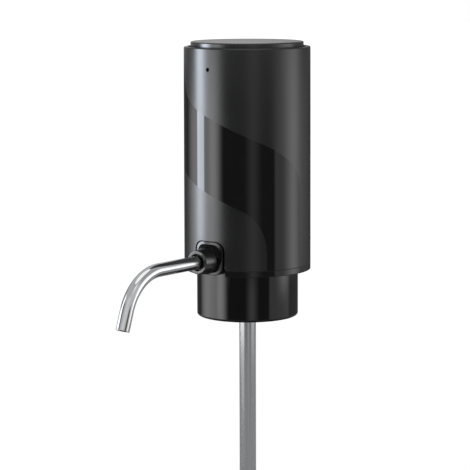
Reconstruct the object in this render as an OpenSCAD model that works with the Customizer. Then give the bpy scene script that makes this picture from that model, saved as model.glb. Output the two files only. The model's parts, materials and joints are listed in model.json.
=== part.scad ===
// Electric wine aerator and dispenser that sits on an open mouth.
// Millimetres, +Z up. The origin is the centre of the mouth it plugs, on the
// plane where its lip seats. The spout points along -Y, the charging port +Y.

/* [Casing] */
// Outer diameter of the casing
case_d = 60; // [59.6:0.2:61]
// Height of the casing together with its bottom cover
case_h = 105.6; // [105.2:0.2:108]
// Wall thickness of the casing
case_wall = 2.1; // [1.9:0.1:2.1]
// Height of the bottom cover's visible rim
cover_rim = 2.4; // [2.2:0.1:2.6]
// Diameter of the indicator hole in the front
led_hole_d = 1.6; // [1.4:0.1:2]
// Distance of the indicator hole below the top edge
led_drop = 9.7; // [9.4:0.1:10]

/* [Collar and seat] */
// Outer diameter of the collar under the casing
collar_d = 48; // [47:0.5:49]
// Visible height of the collar
collar_h = 22.2; // [22.2:0.1:23]
// How far the collar reaches below the lip it sits on
skirt = 18; // [16:0.5:18]
// Diameter of the stopper that plugs the mouth
plug_d = 18.5; // [18:0.1:19]
// Length of that stopper
plug_len = 14; // [11:0.5:15]
// Bore of the soft sleeve around the neck
neck_d = 31.2; // [31:0.1:32]

/* [Spout] */
// Outer diameter of the steel spout
spout_d = 6.3; // [5.8:0.1:6.4]
// Wall thickness of the spout
spout_wall = 0.4; // [0.3:0.05:0.5]
// Height of the spout's axis above the underside of the casing
spout_up = 6.85; // [6.75:0.05:7]
// Distance from the casing's axis to the start of the bend
spout_run = 66.5; // [55:0.5:80]
// Centreline radius of the bend
spout_bend_r = 23.6; // [18:0.2:30]
// Angle that the bend turns through
spout_bend_a = 70.6; // [50:0.2:90]
// Straight length after the bend
spout_tail = 9.1; // [5:0.1:25]
// How far the nozzle stands out from the casing's axis
nozzle_reach = 38.8; // [37:0.1:40]
// Outer diameter of the nozzle
nozzle_d = 11.2; // [10.4:0.2:11.2]

/* [Push button] */
// Diameter of the push button
button_d = 53.7; // [52:0.1:54.4]
// How far the button stands above the casing
button_rise = 2.3; // [1.6:0.1:2.4]
// Travel of the button
button_travel = 1.2; // [0.8:0.1:1.2]

/* [Dip tube] */
// Outer diameter of the fixed dip tube
tube_d = 8; // [7.8:0.1:8]
// Reach of the fixed dip tube below the lip it sits on
tube_reach = 100; // [95:1:110]
// Travel of each telescopic stage
tube_travel = 85; // [60:1:85]

/* [Air pump] */
// Distance of the pump's axis from the casing's axis
pump_off = 10.5; // [10.4:0.1:10.6]
// Diameter of the motor's can
motor_d = 24.4; // [24:0.2:24.6]
// Tilt of the drive pin
wobble_a = 7; // [5:0.5:8]

/* [Battery and charging] */
// Diameter of the battery cell
cell_d = 14; // [13.6:0.1:14.2]
// Length of the battery cell
cell_l = 49.4; // [44:0.2:50]
// Height of the charging port above the lip it sits on
usb_z = 36; // [34:0.5:40]

/* [Hidden] */
$fn = 72;

// levels
z_cov = collar_h - skirt;          // underside of the bottom cover
z_seam = z_cov + cover_rim;        // joint between cover and casing
z_top = z_cov + case_h;            // top edge of the casing
z_spout = z_cov + spout_up;        // axis of the spout
z_led = z_top - led_drop;          // indicator hole
z_bulk = 22;                       // underside of the chassis bulkhead
z_deck = z_top - 21.8;             // underside of the upper deck
z_btn = z_top + button_rise;       // top face of the button
// radii
case_r = case_d / 2;
case_ri = case_r - case_wall;
collar_r = collar_d / 2;
plug_r = plug_d / 2;
neck_r = neck_d / 2;
button_r = button_d / 2;
nozzle_r = nozzle_d / 2;
spout_r = spout_d / 2;
bush_r = 3.9;
tube_r = tube_d / 2;
tube_fit = 0.05;
post_r = 1.8;
post_pr = case_ri - 1.9;           // pitch radius of the chassis posts
post_at = [30, 150, 215, 325];
notch_w = 17;                      // opening in the casing around the nozzle's base
notch_up = 15.3;
plate_w = 15.4;                     // the nozzle's rounded square base
plate_h = 15;
plate_c = 3.7;
// pump and motor
px = -pump_off;
z_piv = 36.6;                      // where the drive pin's axis meets the motor's axis
z_mot = 51;                        // underside of the motor's can
mot_r = motor_d / 2;
mot_l = 31;
// battery
bx = 14.5;
cell_r = cell_d / 2;
z_cell = 26.6;
// telescopic stages
mid_r = tube_r - 0.75;
inn_r = mid_r - 0.7;

C_MATTE = [0.16, 0.165, 0.175];
C_GLOSS = [0.05, 0.05, 0.055];
C_STEEL = [0.78, 0.79, 0.8];
C_SIL = [0.09, 0.09, 0.095];
C_CLEAR = [0.86, 0.87, 0.86];
C_ABS = [0.2, 0.2, 0.21];
C_WHITE = [0.88, 0.88, 0.86];
C_PCB = [0.05, 0.3, 0.16];
C_BRASS = [0.78, 0.62, 0.3];
C_COPPER = [0.72, 0.4, 0.22];
C_FOAM = [0.25, 0.25, 0.26];

// ---------------------------------------------------------------- helpers
module at(a, r) { rotate([0, 0, a]) translate([r, 0, 0]) children(); }
module cyl(r, z0, z1) { translate([0, 0, z0]) cylinder(r = r, h = z1 - z0); }
module ring(ro, ri, z0, z1) {
  difference() { cyl(ro, z0, z1); cyl(ri, z0 - 1, z1 + 1); }
}
// cylinder along -Y, from distance y0 to distance y1 in front of the axis
module front_cyl(r, y0, y1, z) { translate([0, -y0, z]) rotate([90, 0, 0]) cylinder(r = r, h = y1 - y0); }
// bar with rounded corners along -Y, centred on x = 0 and z
module front_bar(w, h, c, y0, y1, z) {
  translate([0, -y0, z]) rotate([90, 0, 0]) {
    translate([-w / 2 + c, -h / 2, 0]) cube([w - 2 * c, h, y1 - y0]);
    translate([-w / 2, -h / 2 + c, 0]) cube([w, h - 2 * c, y1 - y0]);
    for (sx = [-1, 1], sy = [-1, 1])
      translate([sx * (w / 2 - c), sy * (h / 2 - c), 0]) cylinder(r = c, h = y1 - y0);
  }
}
// bar with round ends along +Y, as wide as w and as high as h
module back_slot(w, h, y0, y1, z) {
  translate([0, y1, z]) rotate([90, 0, 0]) {
    translate([-(w - h) / 2, -h / 2, 0]) cube([w - h, h, y1 - y0]);
    for (s = [-1, 1]) translate([s * (w - h) / 2, 0, 0]) cylinder(r = h / 2, h = y1 - y0);
  }
}
function unit(v) = v / norm(v);
function tang(p, i) = unit(i == 0 ? p[1] - p[0] : i == len(p) - 1 ? p[i] - p[i - 1] : p[i + 1] - p[i - 1]);
// round bar along a list of points
module sweep(p, r, n, ref) {
  m = len(p);
  v = [for (i = [0:m - 1]) let (t = tang(p, i), u = unit(cross(t, ref)), w = cross(u, t))
    for (k = [0:n - 1]) p[i] + r * (cos(360 * k / n) * u + sin(360 * k / n) * w)];
  f = concat([[for (k = [n - 1:-1:0]) k]], [[for (k = [0:n - 1]) (m - 1) * n + k]],
    [for (i = [0:m - 2], k = [0:n - 1]) [i * n + k, i * n + (k + 1) % n, (i + 1) * n + (k + 1) % n, (i + 1) * n + k]]);
  polyhedron(points = v, faces = [for (q = f) [for (j = [len(q) - 1:-1:0]) q[j]]]);
}
// points of a quarter round from angle a0 to a1
function arc(cx, cy, r, a0, a1, n) = [for (i = [0:n]) let (a = a0 + (a1 - a0) * i / n) [cx + r * cos(a), cy + r * sin(a)]];
module screw(head_r, head_h, shank_r, shank_l) {
  difference() {
    union() { cyl(head_r, 0, head_h); cyl(shank_r, -shank_l, 0); }
    translate([-head_r, -0.25, head_h - 0.5]) cube([2 * head_r, 0.5, 1]);
    translate([-0.25, -head_r, head_h - 0.5]) cube([0.5, 2 * head_r, 1]);
  }
}
module tilt() { translate([px, 0, z_piv]) rotate([0, wobble_a, 0]) children(); }

// ---------------------------------------------------------------- outside
// Tubular casing: chamfered rims, an inner ledge that the deck pulls down on,
// the opening around the nozzle, the indicator hole and the port slot.
module outer_casing() color(C_MATTE) difference() {
  rotate_extrude() polygon([
    [case_ri, z_seam], [case_r - 0.35, z_seam], [case_r, z_seam + 0.35],
    [case_r, z_top - 0.6], [case_r - 0.15, z_top - 0.2], [case_r - 0.6, z_top], [case_ri + 0.4, z_top], [case_ri, z_top - 0.4],
    [case_ri, z_deck], [case_ri - 2.3, z_deck], [case_ri - 2.3, z_deck - 1.4], [case_ri, z_deck - 3]]);
  front_bar(notch_w, 40, 4, 20, case_r + 5, z_cov + notch_up - 20);
  front_cyl(led_hole_d / 2, 20, case_r + 5, z_led);
  back_slot(10, 4.2, 20, case_r + 5, usb_z);
  for (a = post_at) at(a, post_pr) cyl(post_r + 0.4, z_deck - 4, z_deck + 1);
}
// Ring that closes the gap between casing and collar, with a spigot for the casing.
module bottom_cover() color(C_MATTE) difference() {
  rotate_extrude() polygon(concat(
    [[20.1, z_cov]], arc(case_r - 1, z_cov + 1, 1, -90, 0, 6),
    [[case_r, z_seam - 0.25], [case_r - 0.25, z_seam], [case_ri - 0.1, z_seam], [case_ri - 0.1, z_seam + 3.8],
     [case_ri - 1.5, z_seam + 3.8], [case_ri - 1.5, z_seam], [20.1, z_seam]]));
  front_bar(notch_w, 40, 4, 25.7, case_r + 5, z_cov + notch_up - 20);
  for (a = post_at) at(a, post_pr) {
    cyl(1.1, z_cov - 1, z_seam + 1);
    cyl(1.75, z_cov - 1, z_cov + 1.2);
    cyl(post_r + 0.2, z_seam - 0.3, z_seam + 5);
  }
}
// Polished collar: skirt around the neck, roof, and a spigot through the cover.
module collar() color(C_GLOSS) difference() {
  rotate_extrude() polygon(concat(
    [[21.6, -skirt]], arc(collar_r - 1.4, -skirt + 1.4, 1.4, -90, 0, 6),
    [[collar_r, z_cov - 0.4], [collar_r - 0.4, z_cov], [20, z_cov], [20, z_seam], [13.2, z_seam], [13.2, 1.8], [21.6, 1.8]]));
  for (a = [90, 210, 330]) at(a, 17) cyl(0.85, 2.6, z_seam + 1);
}
// Soft sleeve that centres and grips the neck.
module neck_sleeve() color(C_SIL) rotate_extrude() polygon([
  [neck_r + 1.4, -skirt + 0.4], [21.5, -skirt + 0.4], [21.5, 1.7], [neck_r, 1.7], [neck_r, -skirt + 1.8]]);
// Silicone stopper with its lip flange, the dip tube's bore and four air holes.
module bottle_stopper() color(C_SIL) difference() {
  rotate_extrude() polygon([
    [tube_r + tube_fit, -plug_len], [plug_r - 1, -plug_len], [plug_r, -plug_len + 1], [plug_r, 0],
    [neck_r - 0.2, 0], [neck_r - 0.2, 1.8], [13, 1.8], [13, z_cov - 0.2], [tube_r + tube_fit, z_cov - 0.2]]);
  for (a = [45:90:315]) at(a, 6.6) cyl(1.1, -plug_len - 1, z_cov + 1);
}
// Moulded block that leads liquid from the dip tube to the spout and air down past it.
module spout_manifold() color(C_GLOSS) difference() {
  union() {
    cyl(13, z_cov - 0.15, z_seam);
    cyl(20, z_seam, z_seam + 2.4);
    cyl(7.2, z_seam, z_seam + 10.6);
    front_cyl(4.4, 0, 28, z_spout);
    // base that follows the casing's curve and blends into the nozzle
    intersection() {
      front_bar(plate_w, plate_h, plate_c, 26, case_r + 4, z_cov + plate_h / 2);
      union() {
        cyl(case_r + 0.2, z_cov - 1, z_cov + plate_h + 1);
        translate([0, -case_r + 0.5, z_spout]) rotate([90, 0, 0]) rotate_extrude()
          polygon(concat([[0, -1], [nozzle_r + 1.6, -1], [nozzle_r + 1.6, 0]], arc(nozzle_r + 1.6, 1.6, 1.6, -90, -180, 6), [[0, 1.6]]));
      }
    }
    front_cyl(nozzle_r, 26, nozzle_reach, z_spout);
    translate([px, 0, 0]) cyl(1.5, z_seam, 15);
  }
  cyl(tube_r + tube_fit, 0, 8.1);
  cyl(2.5, 0, z_spout);
  front_cyl(2.5, 0, 27, z_spout);
  front_cyl(bush_r + 0.05, 25, nozzle_reach + 1, z_spout);
  // pressed air: nipple, link, plenum and the small bleed into the liquid
  translate([px, 0, 0]) cyl(0.9, 4.9, 16);
  translate([px, -0.8, 4.9]) cube([4.5, 1.6, 0.8]);
  ring(7.6, 5.6, z_cov - 1, 5.7);
  translate([6.2, 0, 0]) cyl(0.4, 5, z_spout);
  translate([0, 0, z_spout]) rotate([0, 90, 0]) cylinder(r = 0.4, h = 6.2);
  for (a = [90, 210, 330]) at(a, 17) cyl(1.1, z_seam - 1, z_seam + 4);
}
// Silicone bush that seals the spout in the nozzle.
module spout_bush() color(C_SIL) difference() {
  front_cyl(bush_r, 25.2, nozzle_reach - 1.6, z_spout);
  front_cyl(spout_r + 0.05, 20, nozzle_reach + 2, z_spout);
}
// Bent stainless steel spout.
module spout_solid(r, over) {
  front_cyl(r, 25.5 - over, spout_run, z_spout);
  translate([0, -spout_run, z_spout - spout_bend_r]) rotate([0, 0, -90]) rotate([90, 0, 0])
    rotate([0, 0, 90 - spout_bend_a]) rotate_extrude(angle = spout_bend_a) translate([spout_bend_r, 0]) circle(r = r);
  translate([0, -spout_run - spout_bend_r * sin(spout_bend_a), z_spout - spout_bend_r * (1 - cos(spout_bend_a))])
    rotate([90 + spout_bend_a, 0, 0]) cylinder(r = r, h = spout_tail + over);
}
// The two fine rings are the drawing marks where the bend begins and ends.
module spout_tube() color(C_STEEL) difference() {
  union() {
    spout_solid(spout_r, 0);
    front_cyl(spout_r + 0.03, spout_run - 0.25, spout_run + 0.25, z_spout);
    translate([0, -spout_run - spout_bend_r * sin(spout_bend_a), z_spout - spout_bend_r * (1 - cos(spout_bend_a))])
      rotate([90 + spout_bend_a, 0, 0]) cyl(spout_r + 0.03, -0.25, 0.25);
  }
  spout_solid(spout_r - spout_wall, 1);
}

// ---------------------------------------------------------------- dip tube
module stage(ro, wall, lip_r, top, bottom, bead_r) {
  difference() {
    union() {
      cyl(ro, bottom, top);
      if (bead_r > 0) cyl(bead_r, bottom, bottom + 1);
    }
    cyl(ro - wall, bottom + 1.2, top + 1);
    cyl(lip_r, bottom - 1, bottom + 2);
  }
}
module dip_tube_outer() color(C_STEEL) stage(tube_r, 0.4, mid_r + tube_fit, 8, -tube_reach, 0);
module dip_tube_middle() color(C_STEEL) stage(mid_r, 0.35, inn_r + tube_fit, -8, -tube_reach - 3, tube_r - 0.1);
module middle_seal() color(C_CLEAR) ring(tube_r - 0.45, mid_r, -12, -8);
module dip_tube_inner() color(C_STEEL) ring(inn_r, inn_r - 0.35, -tube_reach - 7, -10);
module inner_seal() color(C_CLEAR) ring(mid_r - 0.4, inn_r, -14, -10);
// Slotted foot that keeps the sediment out.
module foot_strainer() color(C_ABS) translate([0, 0, -tube_reach]) difference() {
  rotate_extrude() polygon([[0, -11], [2.2, -11], [3.4, -9.8], [3.4, -4.6], [3, -4.2], [0, -4.2]]);
  cyl(inn_r + 0.02, -7, 0);
  cyl(inn_r - 0.5, -9.8, 0);
  for (a = [0, 60, 120]) rotate([0, 0, a]) translate([-5, -0.5, -12]) cube([10, 1, 3.2]);
}

// ---------------------------------------------------------------- fasteners
module manifold_screws() color(C_STEEL)
  for (a = [90, 210, 330]) at(a, 17) translate([0, 0, z_seam + 2.4]) screw(1.7, 1.4, 0.8, 6);
module cover_screws() color(C_STEEL)
  for (a = post_at) at(a, post_pr) translate([0, 0, z_cov + 1.2]) mirror([0, 0, 1]) screw(1.65, 1, 0.78, 8);
module deck_screws() color(C_STEEL)
  for (a = post_at) at(a, post_pr) translate([0, 0, z_deck + 2]) screw(1.65, 1.3, 0.78, 8);
module pump_screws() color(C_STEEL) translate([px, 0, 0])
  for (a = [30, 150, 270]) at(a, 12) translate([0, 0, 27.8]) mirror([0, 0, 1]) screw(1.3, 1.2, 0.85, 18);

// ---------------------------------------------------------------- frame
// Bulkhead, four posts, the cradles of the motor and the battery, and the board's rails.
module chassis() color(C_ABS) difference() {
  union() {
    cyl(case_ri - 0.7, z_bulk, z_bulk + 2.4);
    for (a = post_at) at(a, post_pr) cyl(post_r, z_seam - 0.3, z_deck - 0.4);
    intersection() {
      translate([px, 0, 0]) ring(16.4, 15, z_bulk + 1, 62);
      cyl(case_ri - 0.7, 0, 100);
    }
    translate([bx, 0, 0]) ring(cell_r + 1.7, cell_r + 0.3, z_bulk + 1, 60);
    for (s = [-1, 1]) translate([s * 9.6 - 1, 19.6, z_bulk + 1]) cube([2, 4.4, 37]);
  }
  translate([px, 0, 0]) cyl(15, z_bulk + 2.4, 70);
  translate([px, 0, 0]) cyl(4, z_bulk - 1, 30);
  translate([bx, 0, 0]) cyl(cell_r + 0.3, z_bulk + 2.4, 70);
  translate([bx, -4, z_bulk + 2.4]) cube([12, 8, 50]);
  translate([px - 5, 8, z_bulk + 2.4]) cube([10, 12, 50]);
  translate([-9.1, 20.9, z_bulk + 2.4]) cube([18.2, 1.8, 60]);
  for (a = post_at) at(a, post_pr) { cyl(0.8, z_seam - 1, z_seam + 8); cyl(0.8, z_deck - 9, z_deck); }
}
// Deck under the button: guide for its stem, spring seat and board stand-offs.
module upper_deck() color(C_ABS) difference() {
  union() {
    cyl(case_ri - 0.6, z_deck, z_deck + 2);
    cyl(7.2, z_deck, z_deck + 7);
    cyl(5, z_deck, z_deck + 12);
    for (a = [30, 150, 270]) at(a, 19) cyl(2, z_deck, z_deck + 3.5);
  }
  cyl(3.05, z_deck - 1, z_deck + 13);
  translate([-4.4, 20.2, z_deck - 1]) cube([8.8, 3.2, 4]);
  for (a = post_at) at(a, post_pr) cyl(1.1, z_deck - 1, z_deck + 4);
}

// ---------------------------------------------------------------- button
module top_button() color(C_MATTE) difference() {
  union() {
    rotate_extrude() polygon(concat(
      [[0, z_btn - 2.6], [button_r - 1.9, z_btn - 2.6], [button_r - 1.9, z_btn - 7.8], [button_r, z_btn - 7.8]],
      arc(button_r - 0.7, z_btn - 0.7, 0.7, 0, 90, 6), [[button_r - 3, z_btn], [button_r * 0.5, z_btn - 0.35], [0, z_btn - 0.5]]));
    cyl(3, z_deck - 1.8, z_btn - 2);
    translate([0, -13, 0]) cyl(2, z_deck + 10.52, z_btn - 2);
  }
  ring(4, 2.2, z_deck - 0.85, z_deck - 0.15);
}
// Clip that holds the button's stem under the deck.
module button_clip() color(C_STEEL) difference() {
  ring(4.6, 2.2, z_deck - 0.8, z_deck - 0.2);
  translate([0, -1.6, z_deck - 2]) cube([10, 3.2, 4]);
}
module button_spring() color(C_STEEL) {
  turns = 6; n = 14;
  z0 = z_deck + 7.45; z1 = z_btn - 3.05;
  sweep([for (i = [0:turns * n]) let (t = i / (turns * n)) [6.2 * cos(360 * i / n), 6.2 * sin(360 * i / n),
    z0 + (z1 - z0) * (t < 0.12 ? 0.2 * t : t > 0.88 ? 1 - 0.2 * (1 - t) : 0.024 + (t - 0.12) * 0.952 / 0.76)]], 0.4, 8, [0, 0, 1]);
}

// ---------------------------------------------------------------- electronics
module switch_pcb() color(C_PCB) difference() {
  cyl(23.4, z_deck + 3.5, z_deck + 5.1);
  cyl(7.6, z_deck, z_deck + 9);
}
module switch_body() color(C_GLOSS) translate([0, -13, 0]) difference() {
  translate([-3.1, -3.1, z_deck + 5.1]) cube([6.2, 6.2, 3.6]);
  cyl(1.75, z_deck + 5.9, z_deck + 10);
}
module switch_plunger() color(C_WHITE) translate([0, -13, 0]) cyl(1.7, z_deck + 7.2, z_deck + 10.5);
// Indicator lamp lying on its side, with its two leads.
module indicator_led() color(C_WHITE) {
  front_cyl(1.5, 20.6, 23.8, z_led);
  front_cyl(1.7, 19.8, 20.6, z_led);
  translate([0, -23.8, z_led]) intersection() { sphere(r = 1.5); translate([-2, -2, -2]) cube([4, 2, 4]); }
  for (s = [-1, 1]) translate([s * 1.1 - 0.25, -19.8, z_deck + 5.1]) cube([0.5, 0.5, z_led - z_deck - 4.9]);
}
module light_pipe() color(C_CLEAR) {
  front_cyl(led_hole_d / 2 - 0.05, 25.4, case_r - 0.7, z_led);
  front_cyl(1.4, 26.2, 27.3, z_led);
}
module main_pcb() color(C_PCB) translate([-9, 21, z_bulk + 5]) cube([18, 1.6, z_deck - z_bulk - 8]);
module pcb_components() color(C_GLOSS) {
  for (c = [[-6, 48, 5, 5, 1], [1.5, 47, 4, 3, 0.9], [-6.5, 58, 3, 6, 1.2], [2, 57, 5, 5, 2.4], [-2, 68, 3, 2, 0.8], [4, 67, 2, 3, 0.8]])
    translate([c[0], 22.6, c[1]]) cube([c[2], c[4], c[3]]);
}
// Upright charging socket: steel shell around a contact tongue.
module usb_socket() color(C_STEEL) {
  difference() {
    back_slot(8.94, 3.26, 22.6, 28.9, usb_z);
    back_slot(8.34, 2.56, 23.6, 30, usb_z);
  }
  translate([-3.3, 23.6, usb_z - 0.35]) cube([6.6, 4.4, 0.7]);
}
module usb_gasket() color(C_SIL) difference() {
  back_slot(9.9, 4.1, 25.8, 28.4, usb_z);
  back_slot(9.0, 3.32, 25, 29, usb_z);
}
module board_header() color(C_GLOSS) translate([-4, 20.6, z_deck - 2.95]) cube([8, 2.4, 6.4]);
module battery_cell() color([0.12, 0.28, 0.55]) translate([bx, 0, 0]) {
  cyl(cell_r, z_cell, z_cell + cell_l);
  cyl(3, z_cell + cell_l, z_cell + cell_l + 0.9);
}
module battery_tabs() color(C_STEEL) {
  translate([bx - 2, -2, z_cell + cell_l + 0.9]) cube([4, 7.4, 0.2]);
  translate([bx - 2, -2, z_cell - 0.2]) cube([4, 4, 0.2]);
}
module battery_leads() color([0.7, 0.1, 0.1]) {
  z1 = z_cell + cell_l + 1.75;
  sweep([[bx, 4.4, z1], [13.5, 9, z1 + 1.2], [11, 15, z1 + 1.6], [8, 18, z1 + 1.4], [6.5, 20.6, z1 + 1.2]], 0.6, 8, [0, 0, 1]);
  sweep([[bx, 5.4, 79.4], [12, 11, 80.6], [8, 16, 81], [4, 18.6, 80.8], [3.6, 20.7, 80.8]], 0.6, 8, [0, 0, 1]);
}
module motor_leads() color([0.75, 0.15, 0.12]) {
  z1 = z_mot + mot_l;
  sweep([[px, 8.4, z1 + 3.4], [px + 1, 11.5, z1 + 3.2], [px + 2, 15, z1 + 1.4], [-7.5, 18.4, z1 - 0.8], [-6.6, 20.6, z1 - 1.2]], 0.55, 8, [1, 0, 0]);
  sweep([[px + 1.15, -7, z1 + 3.2], [-6, -6.6, z1 + 3], [-0.6, -0.5, z1 + 1.3], [-1, 10, z1 + 0.9], [-2.6, 17, z1 - 0.2], [-3.4, 20.6, z1 - 0.8]], 0.55, 8, [0, 0, 1]);
}
module foam_pads() color(C_FOAM) {
  translate([px, 0, 0]) ring(12.9, 5, z_bulk + 2.4, 26.5);
  translate([bx, 0, 0]) difference() {
    cyl(cell_r - 0.4, z_bulk + 2.4, z_cell);
    translate([-2.2, -2.2, z_cell - 0.25]) cube([4.4, 4.4, 1]);
  }
}

// ---------------------------------------------------------------- motor
module motor_cushion() color(C_FOAM) translate([px, 0, 0]) ring(14.9, 13.6, 38, 50);
module motor_can() color(C_STEEL) translate([px, 0, 0]) difference() {
  cyl(mot_r, z_mot, z_mot + mot_l);
  cyl(mot_r - 0.6, z_mot + 0.8, z_mot + mot_l + 1);
  cyl(3.05, z_mot - 1, z_mot + 2);
}
module motor_magnets() color([0.2, 0.2, 0.22]) translate([px, 0, 0]) intersection() {
  ring(mot_r - 0.65, 9.2, z_mot + 5, z_mot + 25);
  union() for (s = [0, 180]) rotate([0, 0, s]) translate([3, -9, z_mot]) cube([12, 18, 40]);
}
module motor_end_cap() color(C_WHITE) translate([px, 0, 0]) difference() {
  union() { cyl(mot_r - 0.65, z_mot + mot_l - 2, z_mot + mot_l); cyl(3.8, z_mot + mot_l - 2.2, z_mot + mot_l + 1.4); }
  cyl(3.05, z_mot + mot_l - 3, z_mot + mot_l + 0.8);
  cyl(1.3, z_mot + mot_l - 3, z_mot + mot_l + 2);
  for (s = [-1, 1]) translate([-1.1, s * 7 - 0.4, z_mot + mot_l - 3]) cube([2.2, 0.8, 5]);
}
module motor_terminals() color(C_BRASS) translate([px, 0, 0])
  for (s = [-1, 1]) translate([-1, s * 7 - 0.3, z_mot + mot_l - 2]) cube([2, 0.6, 5]);
module motor_brushes() color(C_COPPER) translate([px, 0, 0])
  for (s = [-1, 1]) translate([-1, s > 0 ? 2.75 : -7.3, z_mot + mot_l - 4]) cube([2, 4.55, 1.6]);
module motor_bearings() color(C_BRASS) translate([px, 0, 0]) {
  ring(3, 1.04, z_mot, z_mot + 2.6);
  ring(3, 1.04, z_mot + mot_l - 1.8, z_mot + mot_l + 0.75);
}
module motor_shaft() color(C_STEEL) translate([px, 0, 0]) cyl(1, 45.2, z_mot + mot_l + 1.1);
module armature() color([0.45, 0.46, 0.48]) translate([px, 0, 0]) difference() {
  intersection() {
    cyl(8.7, z_mot + 6, z_mot + 24);
    union() {
      cyl(2.6, z_mot, z_mot + 40);
      for (a = [0, 120, 240]) rotate([0, 0, a]) translate([0, -1.5, z_mot]) cube([12, 3, 40]);
      for (a = [0, 120, 240]) rotate([0, 0, a]) translate([7.4, -5.6, z_mot]) cube([3, 11.2, 40]);
    }
  }
  cyl(1, z_mot, z_mot + 40);
}
module armature_windings() color(C_COPPER) translate([px, 0, 0])
  for (a = [0, 120, 240]) rotate([0, 0, a]) difference() {
    translate([3.2, -3, z_mot + 4.6]) cube([4.1, 6, 20.8]);
    translate([0, -1.55, z_mot + 5.9]) cube([12, 3.1, 18.2]);
  }
module commutator() color(C_COPPER) translate([px, 0, 0]) difference() {
  cyl(2.6, z_mot + mot_l - 5.2, z_mot + mot_l - 2.3);
  cyl(1, z_mot, z_mot + 60);
  for (a = [60, 180, 300]) rotate([0, 0, a]) translate([1.8, -0.15, z_mot + 20]) cube([2, 0.3, 20]);
}

// ---------------------------------------------------------------- pump
// Crank on the motor's shaft; the drive pin leans so that the plate nutates.
module eccentric() color(C_WHITE) difference() {
  translate([px, 0, 0]) union() { cyl(6, 41.5, 46); cyl(3.4, 46, 48.2); }
  translate([px, 0, 0]) cyl(1, 45.2, 50);
  tilt() cyl(0.75, 0, 8.06);
}
module drive_pin() color(C_STEEL) tilt() cyl(0.75, -1.2, 8.06);
module wobble_plate() color(C_WHITE) tilt() difference() {
  union() {
    cyl(2.6, -0.8, 2.2);
    for (a = [90, 210, 330]) rotate([0, 0, a]) {
      translate([0, -2.2, 0.2]) cube([7, 4.4, 1.4]);
      translate([7, 0, 0]) cyl(2.2, 0.2, 1.6);
    }
  }
  cyl(0.8, -2, 4);
  for (a = [90, 210, 330]) at(a, 7) cyl(1.35, -1, 3);
}
module pump_frame() color(C_ABS) translate([px, 0, 0]) difference() {
  cyl(13.5, 34.6, z_mot);
  cyl(10.5, 34, 48.6);
  cyl(3.6, 40, z_mot + 1);
  for (a = [30, 150, 270]) at(a, 12) cyl(0.9, 34, 46.5);
}
module diaphragm() color(C_SIL) translate([px, 0, 0]) {
  difference() {
    cyl(13.4, 33, 34.6);
    for (a = [30, 150, 270]) at(a, 12) cyl(0.9, 32, 36);
  }
  for (a = [90, 210, 330]) at(a, 7) {
    translate([0, 0, 34.6]) cylinder(r1 = 3, r2 = 0.95, h = 1.1);
    cyl(0.95, 35, 39.4);
  }
}
module valve_plate() color(C_WHITE) translate([px, 0, 0]) difference() {
  cyl(13.4, 30.8, 33);
  for (a = [30, 150, 270]) at(a, 12) cyl(0.9, 30, 36);
  for (a = [90, 210, 330]) { at(a, 9) cyl(0.8, 30, 36); at(a, 4.6) cyl(0.8, 30, 36); at(a, 7) cyl(3, 32, 34); }
}
module valve_sheet() color(C_SIL) translate([px, 0, 0]) difference() {
  cyl(13.4, 30.2, 30.8);
  for (a = [30, 150, 270]) at(a, 12) cyl(0.9, 30, 36);
  for (a = [90, 210, 330], r = [4.6, 9]) at(a, r) difference() {
    ring(1.7, 1.3, 30, 31);
    translate([-0.8, 0, 29]) cube([1.6, 3, 3]);
  }
}
module pump_cover() color(C_ABS) translate([px, 0, 0]) difference() {
  union() { cyl(13.5, 26.6, 30.2); cyl(1.5, 17, 27); }
  cyl(0.9, 16, 29);
  cyl(6.6, 28.2, 31);
  for (a = [30, 150, 270]) at(a, 12) { cyl(0.9, 26, 31); cyl(1.4, 26, 27.85); }
  for (a = [90, 210, 330]) at(a, 9) { cyl(0.8, 26, 31); cyl(1.6, 28.6, 31); }
}
module air_hose() color(C_CLEAR) translate([px, 0, 0]) ring(2.6, 1.55, 10, 21);
// One-way valve between the two nipples.
module check_valve() color(C_SIL) translate([px, 0, 0]) difference() {
  cyl(1.5, 15.1, 16.9);
  cyl(0.8, 15, 16.2);
  translate([-1, -0.08, 16]) cube([2, 0.16, 2]);
}

outer_casing();
bottom_cover();
collar();
neck_sleeve();
bottle_stopper();
spout_manifold();
spout_bush();
spout_tube();
dip_tube_outer();
dip_tube_middle();
middle_seal();
dip_tube_inner();
inner_seal();
foot_strainer();
manifold_screws();
cover_screws();
chassis();
upper_deck();
deck_screws();
top_button();
button_clip();
button_spring();
switch_pcb();
switch_body();
switch_plunger();
indicator_led();
light_pipe();
main_pcb();
pcb_components();
usb_socket();
usb_gasket();
board_header();
battery_cell();
battery_tabs();
battery_leads();
motor_leads();
foam_pads();
motor_cushion();
motor_can();
motor_magnets();
motor_end_cap();
motor_terminals();
motor_brushes();
motor_bearings();
motor_shaft();
armature();
armature_windings();
commutator();
eccentric();
drive_pin();
wobble_plate();
pump_frame();
diaphragm();
valve_plate();
valve_sheet();
pump_cover();
pump_screws();
air_hose();
check_valve();
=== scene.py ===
import json
import math

import bpy
import numpy as np
from mathutils import Matrix, Vector
from mathutils.geometry import delaunay_2d_cdt


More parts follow.
